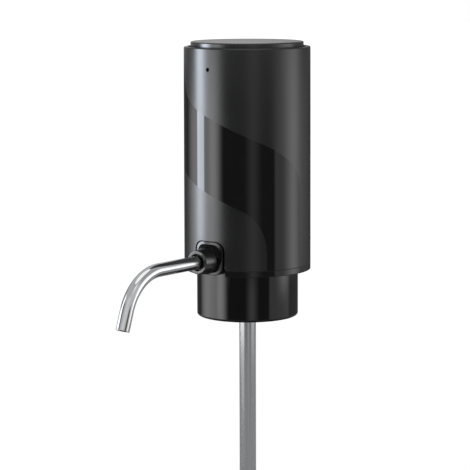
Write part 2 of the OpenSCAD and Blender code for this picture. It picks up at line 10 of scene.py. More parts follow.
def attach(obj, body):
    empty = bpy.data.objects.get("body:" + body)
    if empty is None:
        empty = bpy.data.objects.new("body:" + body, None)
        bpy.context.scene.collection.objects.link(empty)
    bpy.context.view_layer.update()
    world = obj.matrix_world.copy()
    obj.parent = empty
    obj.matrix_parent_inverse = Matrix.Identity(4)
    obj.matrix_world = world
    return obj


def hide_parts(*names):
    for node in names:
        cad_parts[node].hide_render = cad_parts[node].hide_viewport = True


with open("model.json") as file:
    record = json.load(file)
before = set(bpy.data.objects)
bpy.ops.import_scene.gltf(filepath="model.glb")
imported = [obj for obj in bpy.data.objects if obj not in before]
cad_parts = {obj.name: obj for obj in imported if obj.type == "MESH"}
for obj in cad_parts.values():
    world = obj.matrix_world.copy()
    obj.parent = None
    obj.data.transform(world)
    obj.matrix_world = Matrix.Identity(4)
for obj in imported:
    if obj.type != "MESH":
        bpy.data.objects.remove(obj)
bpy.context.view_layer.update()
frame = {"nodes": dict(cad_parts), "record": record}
NODE = frame["nodes"]
SC = bpy.context.scene
MM = 0.001

# ------------------------------------------------------------------ sizes, in millimetres, as in the CAD model
R, WALL, DRAFT = 30.0, 2.1, 0.2                # the casing is a hair wider at its foot
Z_COV, Z_SEAM, Z_TOP = 4.2, 6.6, 109.8
Z_SPOUT, Z_LED, Z_USB = 11.05, 99.93, 36.0
NOTCH_HALF, NOTCH_TOP, NOTCH_R = 8.62, 19.9, 4.6
CAM_PSI = 37.33          # the camera's azimuth, measured from the spout's side


# ------------------------------------------------------------------ camera
def azimuth(psi):
    """Unit vector at azimuth psi in degrees from the spout's side."""
    a = math.radians(psi)
    return Vector((math.sin(a), -math.cos(a), 0.0))


def set_camera():
    cam = bpy.data.cameras.new("camera")
    ob = bpy.data.objects.new("camera", cam)
    SC.collection.objects.link(ob)
    cam.sensor_width = 36.0
    cam.lens = 154.25
    cam.clip_start, cam.clip_end = 0.01, 50.0
    yaw, pitch, roll = math.radians(0.3567), math.radians(8.056), math.radians(0.165)
    h = -azimuth(CAM_PSI)
    h = Vector((h.x * math.cos(yaw) - h.y * math.sin(yaw), h.x * math.sin(yaw) + h.y * math.cos(yaw), 0.0))
    f = h * math.cos(pitch) + Vector((0, 0, -math.sin(pitch)))
    right = h.cross(Vector((0, 0, 1)))
    up = right.cross(f)
    right, up = right * math.cos(roll) - up * math.sin(roll), up * math.cos(roll) + right * math.sin(roll)
    eye = azimuth(CAM_PSI) * 0.95433 + Vector((0, 0, 0.154654))
    m = Matrix((right, up, -f)).transposed().to_4x4()
    m.translation = eye
    ob.matrix_world = m
    SC.camera = ob


set_camera()


# ------------------------------------------------------------------ materials
def ramp(nt, fac, lo, hi, p0=0.3, p1=0.7):
    n = nt.nodes.new("ShaderNodeValToRGB")
    n.color_ramp.elements[0].position = p0
    n.color_ramp.elements[1].position = p1
    n.color_ramp.elements[0].color = (*lo, 1.0)
    n.color_ramp.elements[1].color = (*hi, 1.0)
    nt.links.new(fac, n.inputs[0])
    return n.outputs[0]


def remap(nt, fac, lo, hi, f0=0.25, f1=0.75):
    n = nt.nodes.new("ShaderNodeMapRange")
    n.inputs["From Min"].default_value = f0
    n.inputs["From Max"].default_value = f1
    n.inputs["To Min"].default_value = lo
    n.inputs["To Max"].default_value = hi
    nt.links.new(fac, n.inputs["Value"])
    return n.outputs["Result"]


def noise(nt, co, scale, detail=3.0, stretch=(1, 1, 1)):
    if stretch != (1, 1, 1):
        mp = nt.nodes.new("ShaderNodeMapping")
        mp.inputs["Scale"].default_value = stretch
        nt.links.new(co, mp.inputs["Vector"])
        co = mp.outputs["Vector"]
    n = nt.nodes.new("ShaderNodeTexNoise")
    n.inputs["Scale"].default_value = scale
    n.inputs["Detail"].default_value = detail
    nt.links.new(co, n.inputs["Vector"])
    return n.outputs[0]


def material(name, lo, hi, rough, metallic=0.0, specular=0.5, colour_scale=120.0, rough_scale=90.0,
             grain=None, stretch=(1, 1, 1), coat=None, transmission=0.0, ior=1.5, alpha=1.0, sheen=0.0, aniso=0.0):
    """A procedural finish: two close shades mixed by noise, roughness that drifts, and a fine grain as bump.
    rough is (lowest, highest); grain is (scale per metre, strength, depth in metres); coat is (weight, roughness)."""
    m = bpy.data.materials.new(name)
    m.use_nodes = True
    nt = m.node_tree
    b = nt.nodes["Principled BSDF"]
    co = nt.nodes.new("ShaderNodeTexCoord").outputs["Object"]
    nt.links.new(ramp(nt, noise(nt, co, colour_scale, 4.0, stretch), lo, hi), b.inputs["Base Color"])
    nt.links.new(remap(nt, noise(nt, co, rough_scale, 3.0, stretch), *rough), b.inputs["Roughness"])
    b.inputs["Metallic"].default_value = metallic
    b.inputs["Specular IOR Level"].default_value = specular
    b.inputs["IOR"].default_value = ior
    if grain:
        bp = nt.nodes.new("ShaderNodeBump")
        bp.inputs["Strength"].default_value = grain[1]
        bp.inputs["Distance"].default_value = grain[2]
        nt.links.new(noise(nt, co, grain[0], 2.0, stretch), bp.inputs["Height"])
        nt.links.new(bp.outputs["Normal"], b.inputs["Normal"])
    if coat:
        b.inputs["Coat Weight"].default_value = coat[0]
        b.inputs["Coat Roughness"].default_value = coat[1]
    if transmission:
        b.inputs["Transmission Weight"].default_value = transmission
    if alpha < 1:
        b.inputs["Alpha"].default_value = alpha
    if sheen:
        b.inputs["Sheen Weight"].default_value = sheen
    if aniso:
        b.inputs["Anisotropic"].default_value = aniso
    return m


M_SATIN = material("satin_black", (0.002, 0.0022, 0.0026), (0.0032, 0.0034, 0.004), (0.27, 0.31), specular=0.74,
                   colour_scale=1500, rough_scale=45, grain=(5200, 0.10, 0.00003))
M_GLOSS = material("gloss_black", (0.0042, 0.0042, 0.0046), (0.0054, 0.0054, 0.006), (0.035, 0.06), specular=0.5,
                   colour_scale=300, rough_scale=60, grain=(220, 0.012, 0.00005))
M_COLLAR = material("collar_black", (0.0022, 0.0022, 0.0025), (0.0034, 0.0034, 0.0038), (0.05, 0.09), specular=0.5,
                    colour_scale=300, rough_scale=70, grain=(260, 0.015, 0.00005))
M_COVER = material("cover_black", (0.004, 0.004, 0.0044), (0.006, 0.006, 0.0066), (0.05, 0.08), specular=0.5,
                   colour_scale=900, rough_scale=60, grain=(5200, 0.06, 0.00003))
M_SOCKET = material("socket_black", (0.003, 0.003, 0.0033), (0.0045, 0.0045, 0.005), (0.06, 0.1), specular=0.5,
                    colour_scale=500, rough_scale=120, grain=(400, 0.02, 0.00003))
# the throat is the socket's own black but reflects almost nothing (specular 0.08): painted shade that keeps the hollow
# flare around the nozzle dark
M_THROAT_PAINTED_SHADE = material("throat_black_painted_shade", (0.003, 0.003, 0.0033), (0.0045, 0.0045, 0.005), (0.12, 0.18), specular=0.08,
                    colour_scale=500, rough_scale=120, grain=(400, 0.02, 0.00003))
M_BARREL = material("barrel_satin", (0.006, 0.006, 0.0064), (0.009, 0.009, 0.0096), (0.18, 0.22), specular=0.95,
                    colour_scale=900, rough_scale=200, grain=(3600, 0.1, 0.00003))
M_BUTTON = material("button_satin", (0.011, 0.0113, 0.012), (0.0135, 0.014, 0.015), (0.22, 0.26), specular=0.75,
                    colour_scale=1500, rough_scale=60, grain=(5200, 0.08, 0.00003))
M_STEEL = material("polished_steel", (0.71, 0.715, 0.72), (0.77, 0.775, 0.78), (0.07, 0.11), metallic=1.0,
                   colour_scale=180, rough_scale=260, grain=(900, 0.015, 0.00002))
M_TUBE = material("drawn_steel", (0.55, 0.555, 0.56), (0.64, 0.645, 0.65), (0.16, 0.26), metallic=1.0,
                  colour_scale=600, rough_scale=900, grain=(2600, 0.04, 0.00002), stretch=(1, 1, 0.04))
M_ZINC = material("zinc_steel", (0.5, 0.51, 0.53), (0.62, 0.63, 0.65), (0.22, 0.34), metallic=1.0, colour_scale=900, rough_scale=700)
M_RUBBER = material("black_silicone", (0.012, 0.012, 0.013), (0.018, 0.018, 0.019), (0.42, 0.52), specular=0.4,
                    colour_scale=400, rough_scale=300, grain=(3800, 0.12, 0.00003), sheen=0.08)
M_CLEARSIL = material("clear_silicone", (0.72, 0.73, 0.72), (0.8, 0.81, 0.8), (0.3, 0.4), specular=0.4, transmission=0.5, ior=1.41)
M_ABS = material("dark_abs", (0.03, 0.03, 0.032), (0.042, 0.042, 0.045), (0.42, 0.55), grain=(4200, 0.2, 0.00004))
M_ACETAL = material("white_acetal", (0.72, 0.72, 0.69), (0.8, 0.8, 0.77), (0.34, 0.44), grain=(3000, 0.08, 0.00003))
M_BOARD = material("green_board", (0.012, 0.11, 0.05), (0.02, 0.16, 0.075), (0.2, 0.32), colour_scale=700, rough_scale=400)
M_CHIP = material("black_epoxy", (0.012, 0.012, 0.013), (0.02, 0.02, 0.021), (0.45, 0.6), grain=(6000, 0.2, 0.00003))
M_SMOKE = material("smoked_acrylic", (0.003, 0.003, 0.004), (0.005, 0.005, 0.006), (0.4, 0.5), specular=0.08)
M_CELL = material("cell_sleeve", (0.02, 0.09, 0.30), (0.03, 0.12, 0.38), (0.2, 0.3), colour_scale=200)
M_LEAD = material("lead_red", (0.38, 0.02, 0.015), (0.5, 0.035, 0.025), (0.35, 0.45), colour_scale=600)
M_FOAM = material("grey_foam", (0.07, 0.07, 0.074), (0.14, 0.14, 0.147), (0.85, 0.95), colour_scale=1800, grain=(1500, 0.6, 0.0003))
M_FERRITE = material("ferrite", (0.06, 0.06, 0.065), (0.1, 0.1, 0.106), (0.5, 0.65), colour_scale=900, grain=(2200, 0.2, 0.00005))
M_CORE = material("stacked_steel", (0.25, 0.255, 0.26), (0.36, 0.365, 0.37), (0.35, 0.5), metallic=1.0, stretch=(0.05, 0.05, 1), colour_scale=2500)
M_COPPER = material("enamelled_copper", (0.5, 0.2, 0.08), (0.66, 0.3, 0.14), (0.22, 0.34), metallic=1.0, stretch=(0.05, 0.05, 1), colour_scale=2500)
M_BRASS = material("bronze", (0.6, 0.42, 0.16), (0.72, 0.53, 0.24), (0.28, 0.4), metallic=1.0, colour_scale=900)

BY_SLOT = {
    "case_satin": M_SATIN, "gloss_black": M_GLOSS, "spout_steel": M_STEEL, "tube_steel": M_TUBE, "fastener_steel": M_ZINC,
    "silicone_black": M_RUBBER, "silicone_clear": M_CLEARSIL, "abs_dark": M_ABS, "acetal_white": M_ACETAL,
    "board_green": M_BOARD, "chip_black": M_CHIP, "lens_clear": M_SMOKE, "cell_wrap": M_CELL, "lead_red": M_LEAD,
    "foam_grey": M_FOAM, "magnet_grey": M_FERRITE, "core_steel": M_CORE, "copper": M_COPPER, "brass": M_BRASS,
}
for part in frame["record"]["subparts"]:
    ob = NODE[part["node"]]
    ob.data.materials.clear()
    ob.data.materials.append(BY_SLOT[part["material_slot"]])


# ------------------------------------------------------------------ mesh kit
def unit2(v):
    v = np.asarray(v, float)
    return v / np.hypot(*v)


class Shell:
    """Gathers faces with exact normals at their corners, welding equal points."""

    def __init__(self):
        self.v, self.key, self.f, self.n, self.m = [], {}, [], [], []

    def at(self, p):
        k = (round(p[0], 4), round(p[1], 4), round(p[2], 4))
        if k not in self.key:
            self.key[k] = len(self.v)
            self.v.append((p[0] * MM, p[1] * MM, p[2] * MM))
        return self.key[k]

    def face(self, pts, nrm, m=0):
        idx, nn = [], []
        for p, n in zip(pts, nrm):
            i = self.at(p)
            if i not in idx:
                idx.append(i)
                nn.append((float(n[0]), float(n[1]), float(n[2])))
        if len(idx) > 2:
            self.f.append(idx)
            self.n += nn
            self.m.append(m)

    def build(self, name, mats, body, slot, *nodes):
        me = bpy.data.meshes.new(name)
        me.from_pydata(self.v, [], self.f)
        for mt in mats:
            me.materials.append(mt)
        me.polygons.foreach_set("material_index", self.m)
        me.polygons.foreach_set("use_smooth", [True] * len(self.f))
        me.normals_split_custom_set(self.n)
        ob = bpy.data.objects.new(name, me)
        SC.collection.objects.link(ob)
        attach(ob, body)
        if nodes:
            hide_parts(*nodes)
        return ob


def profile(corners, closed=True, seg=6):
    """Corners (x, y, radius), outside to the right of the way, as pieces (p0, p1, normal at p0, normal at p1)."""
    n, pts = len(corners), []
    for i, c in enumerate(corners):
        p, r = np.array(c[:2], float), (c[2] if len(c) > 2 else 0.0)
        first, last = not closed and i == 0, not closed and i == n - 1
        d0 = None if first else unit2(p - np.array(corners[i - 1][:2], float))
        d1 = None if last else unit2(np.array(corners[(i + 1) % n][:2], float) - p)
        d0 = d1 if d0 is None else d0
        d1 = d0 if d1 is None else d1
        n0, n1 = np.array((d0[1], -d0[0])), np.array((d1[1], -d1[0]))
        turn = math.atan2(d0[0] * d1[1] - d0[1] * d1[0], float(d0 @ d1))
        if r <= 0 or first or last or abs(turn) < 1e-6:
            pts.append((p, n0, n1))
            continue
        s = 1.0 if turn > 0 else -1.0
        q = p - d0 * abs(math.tan(turn / 2)) * r
        cen = q - s * r * n0
        for k in range(seg + 1):
            t = turn * k / seg
            nn = np.array((n0[0] * math.cos(t) - n0[1] * math.sin(t), n0[0] * math.sin(t) + n0[1] * math.cos(t)))
            pts.append((cen + s * r * nn, nn, nn))
    out = []
    for i in range(len(pts) if closed else len(pts) - 1):
        a, b = pts[i], pts[(i + 1) % len(pts)]
        if np.hypot(*(b[0] - a[0])) > 1e-5:
            out.append((a[0], b[0], a[2], b[1]))
    return out


UP = (np.zeros(3), np.array((0.0, -1.0, 0.0)), np.array((1.0, 0.0, 0.0)), np.array((0.0, 0.0, 1.0)))
FRONT = (np.array((0.0, 0.0, Z_SPOUT)), np.array((1.0, 0.0, 0.0)), np.array((0.0, 0.0, 1.0)), np.array((0.0, -1.0, 0.0)))


def moved(fr, x, y, z):
    return (fr[0] + np.array((x, y, z), float), *fr[1:])


def lathe(sh, pieces, n=160, m=0, fr=UP, a0=0.0, a1=360.0):
    """Turns profile pieces about fr's last axis."""
    o, u, v, w = fr
    full = abs(a1 - a0 - 360) < 1e-6
    ang = [math.radians(a0 + (a1 - a0) * k / n) for k in range(n + 1)]
    rad = [math.cos(a) * u + math.sin(a) * v for a in ang]
    if full:
        rad[n] = rad[0]
    for p0, p1, n0, n1 in pieces:
        for k in range(n):
            ra, rb = rad[k], rad[k + 1]
            sh.face([o + ra * p0[0] + w * p0[1], o + rb * p0[0] + w * p0[1], o + rb * p1[0] + w * p1[1], o + ra * p1[0] + w * p1[1]],
                    [ra * n0[0] + w * n0[1], rb * n0[0] + w * n0[1], rb * n1[0] + w * n1[1], ra * n1[0] + w * n1[1]], m)
    if not full:
        # flat ends
        loop = [p[0] for p in pieces]
        for r, s in ((rad[0], 1), (rad[n], -1)):
            t = np.cross(r, w) * s
            pts = [o + r * q[0] + w * q[1] for q in loop]
            if s < 0:
                pts = pts[::-1]
            sh.face(pts, [t] * len(pts), m)


def triangles(points, edges):
    """Constrained triangles of plane points, as corner positions taken from the input where they can be."""
    co, _, fa, ov, _, _ = delaunay_2d_cdt([Vector(p) for p in points], edges, [], 0, 1e-6, True)
    pos = [tuple(points[o[0]]) if o else (c[0], c[1]) for c, o in zip(co, ov)]
    return [[pos[i] for i in f] for f in fa]


def inside(poly, pts):
    """Even-odd test of many points against one polygon."""
    poly, pts = np.asarray(poly, float), np.asarray(pts, float)
    hit = np.zeros(len(pts), bool)
    for (x0, y0), (x1, y1) in zip(poly, np.roll(poly, -1, 0)):
        if y0 == y1:
            continue
        c = (y0 > pts[:, 1]) != (y1 > pts[:, 1])
        hit ^= c & (pts[:, 0] < (x1 - x0) * (pts[:, 1] - y0) / (y1 - y0) + x0)
    return hit


def spline(pts, step=1.0):
    """Centripetal Catmull-Rom curve through points, sampled about every step."""
    p = [np.array(q, float) for q in pts]
    p = [2 * p[0] - p[1]] + p + [2 * p[-1] - p[-2]]
    out = []
    for i in range(1, len(p) - 2):
        t = [0.0]
        for a, b in ((i - 1, i), (i, i + 1), (i + 1, i + 2)):
            t.append(t[-1] + max(np.hypot(*(p[b] - p[a])), 1e-9) ** 0.5)
        k = max(2, int(np.hypot(*(p[i + 1] - p[i])) / step))
        for j in range(k):
            x = t[1] + (t[2] - t[1]) * j / k
            a1 = (t[1] - x) / (t[1] - t[0]) * p[i - 1] + (x - t[0]) / (t[1] - t[0]) * p[i]
            a2 = (t[2] - x) / (t[2] - t[1]) * p[i] + (x - t[1]) / (t[2] - t[1]) * p[i + 1]
            a3 = (t[3] - x) / (t[3] - t[2]) * p[i + 1] + (x - t[2]) / (t[3] - t[2]) * p[i + 2]
            b1 = (t[2] - x) / (t[2] - t[0]) * a1 + (x - t[0]) / (t[2] - t[0]) * a2
            b2 = (t[3] - x) / (t[3] - t[1]) * a2 + (x - t[1]) / (t[3] - t[1]) * a3
            out.append((t[2] - x) / (t[2] - t[1]) * b1 + (x - t[1]) / (t[2] - t[1]) * b2)
    out.append(p[-2])
    return [tuple(q) for q in out]


# ------------------------------------------------------------------ casing
# The skin is laid out flat (u along the girth, v up), with the ribbon's edges and the openings as real edges of the mesh.
SEAM = -150.0            # azimuth of the mesh's own seam, on the satin back
DEG = R * math.pi / 180


def on_case(u, v, depth=0.0):
    a = u / R
    r = R - depth + DRAFT * (Z_TOP - v) / (Z_TOP - Z_SEAM)
    return (r * math.sin(a), -r * math.cos(a), v)


def case_dirs(u):
    a = u / R
    return np.array((math.sin(a), -math.cos(a), 0.0)), np.array((math.cos(a), math.sin(a), 0.0)), np.array((0.0, 0.0, 1.0))


# edges of the gloss ribbon: azimuth from the camera's side in degrees, height below the casing's top
UPPER = [(-78.5, 0), (-78.5, -5), (-78.3, -9), (-77.1, -13.8), (-74.6, -17.9), (-71.2, -21.2), (-66.8, -23.8), (-59.2, -26.4),
         (-50.8, -28.8), (-40.6, -31.2), (-23.4, -35.3), (-9.5, -38.6), (4.3, -41.8), (16.3, -44.6), (22.9, -46.3), (31, -48.8),
         (36.4, -50.7), (39.2, -51.7), (44.1, -53.9), (48.8, -56.6), (52.4, -60), (54.2, -64.2), (54.6, -69), (54.6, -80),
         (54.6, -92), (54.6, -104)]
LOWER = [(17.5, -104), (17.5, -98), (17.3, -94), (16.1, -89.4), (13.6, -85.3), (10.6, -82.3), (7.1, -79.9), (0.7, -76.8),
         (-13.9, -73.0), (-23.5, -70.7), (-40.8, -66.8), (-50.2, -64.6), (-54.8, -63.6), (-65, -61.2), (-76.3, -58.5), (-82.9, -56.9),
         (-91, -54.4), (-96.4, -52.5), (-99.2, -51.5), (-104.1, -49.3), (-108.8, -46.6), (-112.4, -43.2), (-114.2, -39), (-114.6, -34.2),
         (-114.6, -22), (-114.6, -10), (-114.6, 0)]


def casing():
    u0, u1 = SEAM * DEG, (SEAM + 360) * DEG
    c_top, c_bot, c_notch = 0.65, 0.16, 0.2     # outer edge radii
    mark = lambda phi: (phi + CAM_PSI) * DEG

    # rims as points (u, v), the direction that leaves the material, and the radius of the outer edge there
    def arc(cx, cy, r, a0, a1, n, out, c0, c1=None):
        pts = []
        for k in range(n + 1):
            a = math.radians(a0 + (a1 - a0) * k / n)
            pts.append((cx + r * math.cos(a), cy + r * math.sin(a), out * math.cos(a), out * math.sin(a), c0 if c1 is None else c0 + (c1 - c0) * k / n))
        return pts

    def line(p, q, nu, nv, c, step=0.8):
        k = max(2, round(math.hypot(q[0] - p[0], q[1] - p[1]) / step))
        return [(p[0] + (q[0] - p[0]) * i / k, p[1] + (q[1] - p[1]) * i / k, nu, nv, c) for i in range(1, k)]

    def girth(v, nv, c, marks):
        us = [u0 + (u1 - u0) * k / 240 for k in range(241)]
        for mk in marks:
            us[min(range(1, 240), key=lambda j: abs(us[j] - mk))] = mk
        return [(u, v, 0.0, nv, c) for u in us]

    top = girth(Z_TOP, 1.0, c_top, [mark(-78.5), mark(-114.6)])[::-1]
    low = girth(Z_SEAM, -1.0, c_bot, [mark(54.6), mark(17.5)])
    k, b, t, f = 1.2, NOTCH_HALF, NOTCH_TOP, NOTCH_R
    notch = (arc(-b - k, Z_SEAM + k, k, -90, 0, 7, 1, c_bot, c_notch)
             + line((-b, Z_SEAM + k), (-b, t - f), 1.0, 0.0, c_notch)
             + arc(-b + f, t - f, f, 180, 90, 10, -1, c_notch)
             + line((-b + f, t), (b - f, t), 0.0, -1.0, c_notch)
             + arc(b - f, t - f, f, 90, 0, 10, -1, c_notch)
             + line((b, t - f), (b, Z_SEAM + k), -1.0, 0.0, c_notch)
             + arc(b + k, Z_SEAM + k, k, 180, 270, 7, 1, c_notch, c_bot))
    bottom = [p for p in low if p[0] < -b - k - 0.3] + notch + [p for p in low if p[0] > b + k + 0.3]
    led = arc(0.0, Z_LED, 0.92, 360, 0, 28, -1, 0.12)[:-1]
    uc, w, h = 180 * DEG, (10 - 4.2) / 2, 2.1
    usb = (arc(uc - w, Z_USB, h, 270, 90, 14, -1, 0.4) + line((uc - w, Z_USB + h), (uc + w, Z_USB + h), 0.0, -1.0, 0.4)
           + arc(uc + w, Z_USB, h, 90, -90, 14, -1, 0.4) + line((uc + w, Z_USB - h), (uc - w, Z_USB - h), 0.0, 1.0, 0.4))
    loops = [(top, 0.3, False), (bottom, 0.3, False), (led, 0.05, True), (usb, 0.2, True)]

    # the ribbon's edges end on the skin's own rims
    hi, lo = Z_TOP - c_top, Z_SEAM + c_bot
    def edge(pts, a, b_):
        mid = [((x + CAM_PSI) * DEG, Z_TOP + z) for x, z in spline(pts, 1.2)]
        return [a] + [p for p in mid if lo + 0.4 < p[1] < hi - 0.4] + [b_]
    up_line = edge(UPPER, (mark(-78.5), hi), (mark(54.6), lo))
    lo_line = edge(LOWER, (mark(17.5), lo), (mark(-114.6), hi))
    tall = [(x, y + (60 if y > hi - 0.01 else -60 if y < lo + 0.01 else 0)) for x, y in up_line + lo_line]

    sh = Shell()

    def skin(outer, du, dv, lines, depth, mat_of):
        pts, edges, rims = [], [], []

        def chain(ps, closed):
            b0, n = len(pts), len(ps)
            pts.extend(ps)
            edges.extend((b0 + i, b0 + (i + 1) % n) for i in range(n if closed else n - 1))

        for lp, c_in, closed in loops:
            ps = [(p[0] - p[2] * (p[4] if outer else c_in), p[1] - p[3] * (p[4] if outer else c_in)) for p in lp]
            rims.append(ps)
            chain(ps, closed)
        for ln in lines:
            chain(ln, False)
        fixed = np.array(pts)
        rows = np.linspace(Z_SEAM, Z_TOP, int((Z_TOP - Z_SEAM) / dv) + 1)[1:-1]
        cols = np.linspace(u0, u1, int(round(360 / du)) + 1)
        gx, gy = np.meshgrid(cols, rows)
        g = np.stack([gx.ravel(), gy.ravel()], 1)
        near = np.ones(len(g), bool)
        for s in range(0, len(g), 2000):
            d = np.hypot(g[s:s + 2000, None, 0] - fixed[None, :, 0], g[s:s + 2000, None, 1] - fixed[None, :, 1])
            near[s:s + 2000] = d.min(1) > 0.55
        side = (np.abs(g[:, 0] - u0) < 1e-9) | (np.abs(g[:, 0] - u1) < 1e-9)
        dom = rims[1] + rims[0]
        keep = side | (near & inside(dom, g) & ~inside(rims[2], g) & ~inside(rims[3], g))
        pts.extend(tuple(q) for q in g[keep])
        tri = triangles(pts, edges)
        cen = np.array([np.mean(t_, 0) for t_ in tri])
        ok = inside(dom, cen) & ~inside(rims[2], cen) & ~inside(rims[3], cen)
        for t_, good, mi in zip(tri, ok, mat_of(cen)):
            if not good:
                continue
            t_ = [(u0 if abs(u - u1) < 1e-6 else u, v) for u, v in (t_ if outer else t_[::-1])]
            sg = 1.0 if outer else -1.0
            sh.face([on_case(u, v, depth) for u, v in t_], [case_dirs(u)[0] * sg for u, v in t_], int(mi))

    skin(True, 1.5, 2.6, [up_line, lo_line], 0.0, lambda c: inside(tall, c))
    skin(False, 3.0, 8.0, [], WALL, lambda c: np.full(len(c), 2))

    def rim(lp, c_in, closed):
        n = len(lp)
        rows = []
        for j in range(6):
            a = math.radians(90 * j / 5)
            rows.append([(-p[4] * (1 - math.sin(a)), p[4] * (1 - math.cos(a)), math.cos(a), math.sin(a)) for p in lp])
        for j in range(4):
            a = math.radians(90 * j / 3)
            rows.append([(-c_in * (1 - math.cos(a)), WALL - c_in * (1 - math.sin(a)), -math.sin(a), math.cos(a)) for p in lp])
        grid = []
        for row in rows:
            out = []
            for (u, v, nu, nv, _), (off, dep, nr, ni) in zip(lp, row):
                u = u0 if abs(u - u1) < 1e-6 else u
                uu = u + nu * off
                e, t_, z = case_dirs(uu)
                out.append((on_case(uu, v + nv * off, dep), e * nr + (t_ * nu + z * nv) * ni))
            grid.append(out)
        js = [(i, (i + 1) % n) for i in range(n if closed else n - 1)]
        mid = np.array([((lp[i][0] + lp[j][0]) / 2, min(max((lp[i][1] + lp[j][1]) / 2, lo + 0.2), hi - 0.2)) for i, j in js])
        gloss = inside(tall, mid)
        for a, (ga, gb) in enumerate(zip(grid, grid[1:])):
            for (i, j), gl in zip(js, gloss):
                sh.face([ga[j][0], ga[i][0], gb[i][0], gb[j][0]], [ga[j][1], ga[i][1], gb[i][1], gb[j][1]], 2 if a >= 7 else int(gl))

    for lp in loops:
        rim(*lp)
    return sh.build("casing_shell", [M_SATIN, M_GLOSS, M_ABS], "housing", "case_satin", "outer_casing")


casing()


# ------------------------------------------------------------------ button, cover, collar
def button():
    sh = Shell()
    zb = 112.1
    lathe(sh, profile([(0, zb - 2.6), (24.95, zb - 2.6, 0.6), (24.95, zb - 7.8, 0.3), (26.75, zb - 7.8, 0.3), (26.75, zb, 0.6),
                       (24.6, zb, 3), (13, zb - 0.33, 30), (0, zb - 0.5)], closed=False, seg=8), 192)
    lathe(sh, profile([(0, 86.2), (3, 86.2, 0.4), (3, 87.15), (2.2, 87.15), (2.2, 87.85), (3, 87.85), (3, zb - 2.6), (0, zb - 2.6)], closed=False), 48)
    lathe(sh, profile([(0, 98.52), (2, 98.52, 0.3), (2, zb - 2.6), (0, zb - 2.6)], closed=False), 40, fr=moved(UP, 0, -13, 0))
    return sh.build("button_cap", [M_BUTTON], "button", "case_satin", "top_button")


def cover():
    sh = Shell()
    half = math.degrees(math.asin(8.5 / 28.6))
    zp = Z_COV + 1.2                           # floor of the screws' counterbores
    ring = profile([(25.7, zp), (28.2, zp), (28.2, Z_COV - 0.5, 0.2), (R + DRAFT, Z_COV - 0.5, 0.35), (R + DRAFT, Z_SEAM, 0.14), (27.8, Z_SEAM, 0.1), (27.8, Z_SEAM + 3.8, 0.3),
                    (26.4, Z_SEAM + 3.8, 0.2), (26.4, Z_SEAM), (25.7, Z_SEAM)])
    lathe(sh, ring, 220, a0=half, a1=360 - half)
    lathe(sh, profile([(20.1, zp), (25.7, zp), (25.7, Z_SEAM), (20.1, Z_SEAM)]), 160)
    # plate underneath, with the four counterbores
    on = lambda r, a: (r * math.sin(math.radians(a)), -r * math.cos(math.radians(a)))
    loops = [[on(28.2, half + (360 - 2 * half) * k / 220) for k in range(221)] + [on(25.7, -half + 2 * half * k / 16) for k in range(17)],
             [on(20.1, -2.25 * k) for k in range(160)]]
    for a in (30, 150, 215, 325):
        x, y = 26 * math.cos(math.radians(a)), 26 * math.sin(math.radians(a))
        loops.append([(x + dx, y + dy) for dx, dy in (on(1.75, -10 * k) for k in range(36))])
    pts, edges = [], []
    for lp in loops:
        b, n = len(pts), len(lp)
        pts += lp
        edges += [(b + k, b + (k + 1) % n) for k in range(n)]
        for (x0, y0), (x1, y1) in zip(lp, lp[1:] + lp[:1]):
            d = math.hypot(x1 - x0, y1 - y0)
            sh.face([(x0, y0, Z_COV), (x1, y1, Z_COV), (x1, y1, zp), (x0, y0, zp)], [((y1 - y0) / d, (x0 - x1) / d, 0.0)] * 4)
    tri = triangles(pts, edges)
    cen = np.array([np.mean(t, 0) for t in tri])
    ok = inside(loops[0], cen)
    for lp in loops[1:]:
        ok &= ~inside(lp, cen)
    for t, good in zip(tri, ok):
        if good:
            sh.face([(x, y, zp) for x, y in t], [(0.0, 0.0, 1.0)] * 3)
            sh.face([(x, y, Z_COV) for x, y in t[::-1]], [(0.0, 0.0, -1.0)] * 3)
    return sh.build("cover_ring", [M_COVER], "housing", "case_satin", "bottom_cover")


def collar():
    sh = Shell()
    lathe(sh, profile([(21.6, -18.75, 0.4), (24.2, -18.75, 1.2), (24.2, Z_COV, 0.4), (20, Z_COV), (20, Z_SEAM), (13.2, Z_SEAM), (13.2, 1.8), (21.6, 1.8, 0.4)], seg=8), 200)
    return sh.build("collar_shell", [M_COLLAR], "housing", "gloss_black", "collar")


def sleeve():
    sh = Shell()
    bore = [(15.6, 1.7, 0.2)]
    for k in range(4):
        z = -1.6 - 3.7 * k
        bore += [(15.6, z, 0.5), (16.7, z - 0.9, 0.4), (16.7, z - 2.1, 0.4), (15.6, z - 3.0, 0.5)]
    bore += [(15.6, -16.4, 0.5)]
    lathe(sh, profile([(17.2, -17.6, 0.5), (21.5, -17.6, 0.4), (21.5, 1.7, 0.2)] + bore), 144)
    return sh.build("sleeve_soft", [M_RUBBER], "housing", "silicone_black", "neck_sleeve")


def holed_ring(sh, z, r_in, r_out, holes, up, n_in, n_out):
    """Flat ring with round holes; its rims have n_in and n_out points that match the lathes beside it."""
    pts, edges, polys = [], [], []
    for cx, cy, r, n in [(0, 0, r_out, n_out), (0, 0, r_in, n_in)] + [(x, y, r, 28) for x, y, r in holes]:
        b = len(pts)
        ps = [(cx + r * math.sin(2 * math.pi * k / n), cy - r * math.cos(2 * math.pi * k / n)) for k in range(n)]
        pts += ps
        edges += [(b + k, b + (k + 1) % n) for k in range(n)]
        polys.append(ps)
    tri = triangles(pts, edges)
    cen = np.array([np.mean(t, 0) for t in tri])
    ok = inside(polys[0], cen)
    for p in polys[1:]:
        ok &= ~inside(p, cen)
    nz = (0.0, 0.0, 1.0 if up else -1.0)
    for t, good in zip(tri, ok):
        if good:
            t = t if up else t[::-1]
            sh.face([(x, y, z) for x, y in t], [nz] * 3)


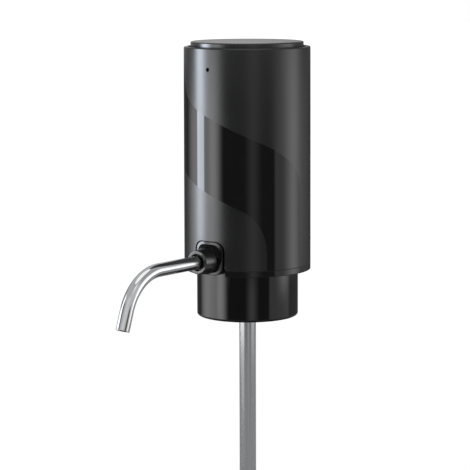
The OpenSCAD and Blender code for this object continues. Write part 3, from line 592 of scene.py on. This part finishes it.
def stopper():
    sh = Shell()
    holes = [(6.6 * math.sin(math.radians(a)), -6.6 * math.cos(math.radians(a)), 1.1) for a in (45, 135, 225, 315)]
    n = 144
    side = [(8.1, -14), (8.45, -14, 0.3), (9.25, -12.6, 0.6)]
    for z in (-10.6, -7.0, -3.4):
        side += [(9.25, z - 0.9, 0.35), (8.75, z - 0.55, 0.3), (8.75, z + 0.55, 0.3), (9.25, z + 0.9, 0.35)]
    side += [(9.25, 0, 0.5), (15.4, 0, 0.35), (15.4, 1.8, 0.2), (13, 1.8), (13, 4.0)]
    lathe(sh, profile(side, closed=False), n)
    lathe(sh, profile([(4.05, 4.0), (4.05, -13.7, 0.1), (4.35, -14)], closed=False), n)
    holed_ring(sh, -14, 4.35, 8.1, holes, False, n, n)
    holed_ring(sh, 4.0, 4.05, 13, holes, True, n, n)
    for x, y, r in holes:
        lathe(sh, profile([(r, 4.0), (r, -14)], closed=False), 28, fr=moved(UP, x, y, 0))
    return sh.build("stopper_soft", [M_RUBBER], "housing", "silicone_black", "bottle_stopper")


button()
cover()
collar()
sleeve()
stopper()


# ------------------------------------------------------------------ nozzle, bush and spout
def grid_faces(sh, rings, finish):
    """Joins rings of points, with normals from the grid itself; finish gives each row's material."""
    g = np.array(rings)
    along = np.gradient(g, axis=0)
    around = np.roll(g, -1, 1) - np.roll(g, 1, 1)
    nn = np.cross(around, along)
    nn /= np.maximum(np.linalg.norm(nn, axis=2, keepdims=True), 1e-12)
    k = g.shape[1]
    for i in range(len(g) - 1):
        for j in range(k):
            q = (j + 1) % k
            sh.face([g[i, j], g[i, q], g[i + 1, q], g[i + 1, j]], [nn[i, j], nn[i, q], nn[i + 1, q], nn[i + 1, j]], finish(i))


def outline(a, hx, hy, c, up):
    """Distance from the nozzle's axis to the edge of the rounded square base, whose middle is a little above the axis."""
    lo, hi = 0.0, 20.0
    for _ in range(48):
        r = (lo + hi) / 2
        x, y = abs(r * math.cos(a)) - hx + c, abs(r * math.sin(a) - up) - hy + c
        if math.hypot(max(x, 0.0), max(y, 0.0)) + min(max(x, y), 0.0) < c:
            lo = r
        else:
            hi = r
    return lo


def nozzle():
    sh = Shell()
    o, u, v, w = FRONT
    n = 144
    ang = [2 * math.pi * k / n for k in range(n)]
    base = lambda inset: [outline(a, 7.7 - inset, 7.81 - inset, 4.2 - inset, 0.96) for a in ang]
    face = lambda rad: [math.sqrt(30.35 ** 2 - (r * math.cos(a)) ** 2) for r, a in zip(rad, ang)]   # follows the casing's curve
    rings = []

    def ring(rad, dist):
        dist = dist if isinstance(dist, list) else [dist] * n
        rings.append([o + u * (r * math.cos(a)) + v * (r * math.sin(a)) + w * d for r, a, d in zip(rad, ang, dist)])

    ro, rf, end, e, foot = 5.6, 6.3, 38.8, 0.3, 31.9
    full = base(0.0)
    for f in (0.0, 0.4, 0.8, 0.97):
        ring(full, [26.0 + (d - e - 26.0) * f for d in face(full)])
    for k in range(0, 8):                      # rounded edge of the base
        t = math.radians(90 * k / 7)
        rad = base(e * (1 - math.cos(t)))
        ring(rad, [d - e + e * math.sin(t) for d in face(rad)])
    start = [outline(a, 6.45, 6.56, 3.8, 0.96) for a in ang]       # rounder than the edge, so the face is wider at the corners
    for f in (0.05, 0.25, 0.5, 0.75, 0.95):             # front face
        rad = [r + (s - r) * f for r, s in zip(base(e), start)]
        ring(rad, face(rad))
    flare_start = len(rings)
    for k in range(0, 15):                     # hollow flare down to the round nozzle, in the throat material: painted shade
        f = k / 14
        c = 0.5 + 0.35 * 0.5                   # a shallow curve, a third of the way from a straight line to a full fillet
        q0, q1, q2 = (1 - f) ** 2, 2 * f * (1 - f), f * f
        ring([r * q0 + (r + (rf - r) * c) * q1 + rf * q2 for r in start],
             [d * q0 + (d + (foot - d) * (1 - c)) * q1 + foot * q2 for d in face(start)])
    flare_end = len(rings) - 1
    for d in (foot + 0.08, 33.5, 35.0, 36.5, 37.6, end - 0.53, end - 0.45):   # the nozzle tapers a little
        ring([rf + (ro - rf) * (d - foot) / (end - 0.45 - foot)] * n, d)
    for k in range(1, 8):                      # rounded lip, flat face and bore
        t = math.radians(90 * k / 7)
        ring([ro - 0.45 * (1 - math.cos(t))] * n, end - 0.45 + 0.45 * math.sin(t))
    ring([4.7] * n, end)
    for k in range(0, 6):
        t = math.radians(90 * k / 5)
        ring([4.25 - 0.3 * math.sin(t)] * n, end - 0.3 + 0.3 * math.cos(t))
    for d in (37.0, 34.0, 30.0, 27.0, 25.0):
        ring([3.95] * n, d)
    # the base and its face take the socket's black, the flare the throat's painted shade, and the nozzle, lip and bore
    # the barrel's satin
    grid_faces(sh, rings, lambda i: 0 if i < flare_start else 2 if i < flare_end else 1)
    # inside the casing: channel, arm, core, flange, hub and air nipple
    lathe(sh, profile([(3.95, 25.0), (2.5, 25.0), (2.5, 2.4)], closed=False), 72, fr=FRONT)
    lathe(sh, profile([(4.4, 6.0), (4.4, 26.0)], closed=False), 72, fr=FRONT)
    lathe(sh, profile([(4.4, 26.0), (6.8, 26.0)], closed=False), 72, fr=FRONT)
    lathe(sh, profile([(4.05, 4.05), (13, 4.05), (13, 6.6), (20, 6.6, 0.2), (20, 9.0, 0.4), (7.2, 9.0, 0.6), (7.2, 17.2, 0.8), (0, 17.2)], closed=False), 120)
    lathe(sh, profile([(0, 8.1), (4.05, 8.1), (4.05, 4.05)], closed=False), 72)
    lathe(sh, profile([(0.9, 9.0), (1.5, 9.0), (1.5, 15.0, 0.2), (0.9, 15.0, 0.1)]), 48, fr=moved(UP, -10.5, 0, 0))
    return sh.build("nozzle_block", [M_SOCKET, M_BARREL, M_THROAT_PAINTED_SHADE], "housing", "gloss_black", "spout_manifold")


def bush():
    sh = Shell()
    lathe(sh, profile([(3.2, 25.2, 0.2), (3.9, 25.2, 0.2), (3.9, 37.2, 0.3), (3.2, 37.2, 0.3)]), 96, fr=FRONT)
    return sh.build("bush_soft", [M_RUBBER], "spout_seal", "silicone_black", "spout_bush")


def spout():
    sh = Shell()
    run, br, ba, tail, ro, ri = 66.5, 23.6, math.radians(70.6), 9.1, 3.15, 2.75
    x = np.array((1.0, 0.0, 0.0))

    def at(s):
        """Centre and direction at a distance s along the centreline, from o = 25.5."""
        l1, l2 = run - 25.5, br * ba
        if s <= l1:
            return np.array((0.0, -25.5 - s, Z_SPOUT)), np.array((0.0, -1.0, 0.0))
        b = min((s - l1) / br, ba)
        c = np.array((0.0, -run - br * math.sin(b), Z_SPOUT - br * (1 - math.cos(b))))
        t = np.array((0.0, -math.cos(b), -math.sin(b)))
        return c + t * max(s - l1 - l2, 0.0), t

    total = run - 25.5 + br * ba + tail
    lip = (ro - ri) / 2
    mid = (ro + ri) / 2
    rings = []                                 # distance, radius, share of the normal along the radius and the tube
    for k in range(9):
        t = math.pi * (1 - k / 8)
        rings.append((lip - lip * math.sin(t), mid + lip * math.cos(t), math.cos(t), -math.sin(t)))
    body = [lip + (total - 2 * lip) * k / 120 for k in range(1, 120)]
    rings += [(s, ro, 1.0, 0.0) for s in body]
    for k in range(9):
        t = math.pi * k / 8
        rings.append((total - lip + lip * math.sin(t), mid + lip * math.cos(t), math.cos(t), math.sin(t)))
    rings += [(s, ri, -1.0, 0.0) for s in body[::-1]]
    n = 72
    grid = []
    for s, r, nr, nt in rings:
        c, t = at(s)
        v = np.cross(t, x)
        row = []
        for k in range(n):
            a = 2 * math.pi * k / n
            e = x * math.cos(a) + v * math.sin(a)
            row.append((c + e * r, e * nr + t * nt))
        grid.append(row)
    for i in range(len(grid)):
        ga, gb = grid[i], grid[(i + 1) % len(grid)]
        for j in range(n):
            q = (j + 1) % n
            sh.face([ga[j][0], ga[q][0], gb[q][0], gb[j][0]], [ga[j][1], ga[q][1], gb[q][1], gb[j][1]])
    return sh.build("spout_pipe", [M_STEEL], "spout", "spout_steel", "spout_tube")


nozzle()
bush()
spout()


# ------------------------------------------------------------------ dip tube
def dip_tubes():
    sh = Shell()
    lathe(sh, profile([(3.3, -100, 0.25), (4.0, -100, 0.45), (4.0, 8, 0.15), (3.6, 8, 0.15), (3.6, -98.8, 0.2), (3.3, -98.8, 0.1)]), 96)
    sh.build("tube_fixed", [M_TUBE], "tube_outer", "tube_steel", "dip_tube_outer")
    sh = Shell()
    lathe(sh, profile([(2.6, -103, 0.2), (3.9, -103, 0.35), (3.9, -102, 0.35), (3.25, -102, 0.2), (3.25, -8, 0.12), (2.9, -8, 0.12), (2.9, -101.8, 0.2), (2.6, -101.8, 0.1)]), 84)
    sh.build("tube_stage_one", [M_TUBE], "tube_middle", "tube_steel", "dip_tube_middle")
    sh = Shell()
    lathe(sh, profile([(2.2, -107, 0.1), (2.55, -107, 0.12), (2.55, -10, 0.12), (2.2, -10, 0.1)]), 72)
    sh.build("tube_stage_two", [M_TUBE], "tube_inner", "tube_steel", "dip_tube_inner")


dip_tubes()


# ------------------------------------------------------------------ studio
def soft(x):
    x = min(max(0.5 + 0.5 * x, 0.0), 1.0)
    return x * x * (3 - 2 * x)


def panel(theta, a0, a1, s0, s1, level):
    """Radiance of an upright panel from azimuth a0 to a1 (degrees from the camera's side) whose edges fade over s0 and s1."""
    return level * soft((theta - a0) / s0) * soft((a1 - theta) / s1)


def wall_of_light(theta, z):
    """Colour of the ring of softboxes and flags around the object, at azimuth theta and height z."""
    k = soft((z - 0.1) / 0.02)
    key = panel(theta, -100.0 - 2.2 * k, -82.5 + 2.5 * k, 1.3, 1.3, 7.6) * soft((z + 0.066) / 0.006) * soft((0.29 - z) / 0.06) * (1 + 0.42 * soft((z - 0.06) / 0.05) - 0.98 * soft((z - 0.15) / 0.03))
    left = panel(theta, -116, -50.6, 20, 9.5, 2.5) + panel(theta, -70, -56, 6, 12, 1.2)
    left *= soft((0.058 + 0.052 * soft((theta + 104) / 5) - z) / 0.02)
    low = 0.09 + panel(theta, 2, 18, 9, 10, 0.4) * (1 + 0.9 * soft((-0.078 - z) / 0.008))     # slit beside the camera
    wall = panel(theta, 49.5, 124, 3, 30, 0.6) * soft((0.075 - z) / 0.015) * (1 - panel(theta, 106, 150, 5, 9, 0.7) * soft((-0.075 - z) / 0.006))
    box = panel(theta, 76, 99.5, 14, 13, 1.5) * soft((0.075 - z) / 0.012) * soft((z + 0.085) / 0.012) * (1 + 0.5 * soft((z - 0.045) / 0.03))
    high = float(np.interp(theta, (-180, -125, -105, -66, -54, -14, 39, 56, 105, 125, 168, 180), (0.68, 0.34, 0.1, 0.1, 0.43, 0.76, 0.54, 0.6, 0.36, 0.2, 0.2, 0.68)))
    high += panel(theta, 64, 103, 8, 8, 0.85) * soft((0.21 - z) / 0.06)
    sky = 0.5 + panel(theta, 8, 36, 8, 8, 0.4) * soft((z - 0.42) / 0.06) * soft((0.85 - z) / 0.15) - panel(theta, 50, 100, 10, 10, 0.13)
    sky *= 1 - panel(theta, 113, 168, 7, 8, 0.9) * soft((z - 0.38) / 0.05) * soft((0.7 - z) / 0.1)      # dark flag behind
    u = soft((z - 0.27 - 0.15 * soft((55 - abs(theta)) / 10)) / 0.07)
    high = high * (1 - u) + sky * u
    t = soft((z - 0.08 - 0.03 * soft((45 - abs(theta)) / 10) * (1 - 0.8 * soft((theta - 12) / 6))) / 0.025)
    grey = low * (1 - t) + high * t + left + wall + box
    under = 0.34 - panel(theta, 112, 164, 6, 6, 0.3) * soft((-0.335 - z) / 0.03)                      # dark flag below
    d = soft((-0.116 - z) / 0.004)
    grey = grey * (1 - d) + under * d
    return (grey + 0.80 * key, grey + 0.89 * key, grey * 1.01 + 1.02 * key)


def emitter(name, verts, faces, values):
    me = bpy.data.meshes.new(name)
    me.from_pydata(verts, [], faces)
    at = me.attributes.new("radiance", "FLOAT_COLOR", "POINT")
    at.data.foreach_set("color", [x for v in values for x in (*v, 1.0)])
    m = bpy.data.materials.new(name)
    m.use_nodes = True
    nt = m.node_tree
    nt.nodes.clear()
    out = nt.nodes.new("ShaderNodeOutputMaterial")
    em = nt.nodes.new("ShaderNodeEmission")
    rd = nt.nodes.new("ShaderNodeAttribute")
    rd.attribute_name = "radiance"
    nt.links.new(rd.outputs["Color"], em.inputs["Color"])
    nt.links.new(em.outputs[0], out.inputs["Surface"])
    me.materials.append(m)
    ob = bpy.data.objects.new(name, me)
    SC.collection.objects.link(ob)
    ob.visible_camera = ob.visible_diffuse = ob.visible_shadow = ob.visible_transmission = False
    return ob


def area(name, where, aim, size, radiance):
    """Soft light for the floor and other dull surfaces; it isn't seen in reflections."""
    li = bpy.data.lights.new(name, "AREA")
    li.shape, li.size = "DISK", size
    li.energy = math.pi * (math.pi * size * size / 4) * radiance
    ob = bpy.data.objects.new(name, li)
    SC.collection.objects.link(ob)
    ob.location = where
    ob.rotation_euler = (Vector(where) - Vector(aim)).to_track_quat("Z", "Y").to_euler()
    ob.visible_camera = ob.visible_glossy = False


def studio():
    # ring of light, in front of which the object stands
    rows = [-0.5, -0.42, -0.37, -0.352, -0.335, -0.318, -0.3, -0.25, -0.18, -0.122, -0.119, -0.116, -0.112, -0.098, -0.091, -0.085, -0.079, -0.073, -0.068, -0.064, -0.058, -0.03, 0.0, 0.02, 0.03, 0.04, 0.05, 0.06, 0.07, 0.08, 0.09, 0.1,
            0.11, 0.12, 0.135, 0.15, 0.17, 0.2, 0.23, 0.26, 0.29,
            0.33, 0.36, 0.39, 0.42, 0.45, 0.48, 0.54, 0.6, 0.66, 0.72, 0.78, 0.85, 0.93, 1.0, 1.2]
    n, rad = 480, 0.5
    verts, vals, faces = [], [], []
    for z in rows:
        for k in range(n):
            th = -180 + 360 * k / n
            d = azimuth(CAM_PSI + th) * rad
            verts.append((d.x, d.y, z))
            vals.append(wall_of_light(th, z))
    for i in range(len(rows) - 1):
        for k in range(n):
            q = (k + 1) % n
            faces.append((i * n + k, (i + 1) * n + k, (i + 1) * n + q, i * n + q))
    emitter("light_ring", verts, faces, vals)
    # overhead panel
    n = 64
    verts = [(0.32 * math.cos(2 * math.pi * k / n), 0.32 * math.sin(2 * math.pi * k / n), 0.8) for k in range(n)]
    emitter("light_top", verts, [list(range(n))[::-1]], [(1.15, 1.15, 1.15)] * n)
    area("fill_left", azimuth(CAM_PSI - 60) * 0.9 + Vector((0, 0, 0.9)), (0, 0, 0), 0.7, 1.0)
    area("fill_top", (0.1, 0.1, 1.3), (0, 0, 0), 0.9, 0.6)
    # pale floor, as far below as the dip tube reaches when it is drawn out; brighter away from the object
    me = bpy.data.meshes.new("floor")
    n, rad = 128, 12.0
    me.from_pydata([(rad * math.cos(2 * math.pi * k / n), rad * math.sin(2 * math.pi * k / n), -0.308) for k in range(n)], [], [list(range(n))])
    fl = bpy.data.objects.new("floor", me)
    SC.collection.objects.link(fl)
    m = bpy.data.materials.new("pale_floor")
    m.use_nodes = True
    nt = m.node_tree
    b = nt.nodes["Principled BSDF"]
    b.inputs["Base Color"].default_value = (0.8, 0.8, 0.8, 1)
    b.inputs["Roughness"].default_value = 0.9
    b.inputs["Specular IOR Level"].default_value = 0.1
    b.inputs["Emission Color"].default_value = (1, 1, 1, 1)
    ln = nt.nodes.new("ShaderNodeVectorMath")
    ln.operation = "LENGTH"
    nt.links.new(nt.nodes.new("ShaderNodeTexCoord").outputs["Object"], ln.inputs[0])
    nt.links.new(remap(nt, ln.outputs["Value"], 0.78, 0.96, 0.25, 8.0), b.inputs["Emission Strength"])
    me.materials.append(m)
    fl.visible_glossy = False
    # world: white to the camera, dim to everything else
    w = bpy.data.worlds.new("studio")
    w.use_nodes = True
    nt = w.node_tree
    bg = nt.nodes["Background"]
    bg.inputs["Color"].default_value = (1, 1, 1, 1)
    bg.inputs["Strength"].default_value = 1.0
    dim = nt.nodes.new("ShaderNodeBackground")
    sep = nt.nodes.new("ShaderNodeSeparateXYZ")
    nt.links.new(nt.nodes.new("ShaderNodeTexCoord").outputs["Generated"], sep.inputs[0])
    rp = nt.nodes.new("ShaderNodeValToRGB")
    nt.links.new(remap(nt, sep.outputs["Z"], 0.0, 1.0, -1.0, 1.0), rp.inputs[0])
    stops = [(0.0, 0.05), (0.12, 0.12), (0.2, 0.34), (0.45, 0.34), (0.55, 0.4), (0.75, 0.15), (1.0, 0.3)]
    for _ in stops[2:]:
        rp.color_ramp.elements.new(0.5)
    for el, (pos, val) in zip(rp.color_ramp.elements, stops):
        el.position = pos
        el.color = (val, val, val, 1)
    nt.links.new(rp.outputs[0], dim.inputs["Color"])
    dim.inputs["Strength"].default_value = 1.0
    lp = nt.nodes.new("ShaderNodeLightPath")
    mx = nt.nodes.new("ShaderNodeMixShader")
    nt.links.new(lp.outputs["Is Camera Ray"], mx.inputs[0])
    nt.links.new(dim.outputs[0], mx.inputs[1])
    nt.links.new(bg.outputs[0], mx.inputs[2])
    nt.links.new(mx.outputs[0], nt.nodes["World Output"].inputs["Surface"])
    SC.world = w
    SC.view_settings.view_transform = "Standard"
    SC.view_settings.look = "None"
    SC.cycles.use_denoising = True
    SC.cycles.sample_clamp_direct = 1.3      # keeps the bright strips on the steel from eating its outline


studio()
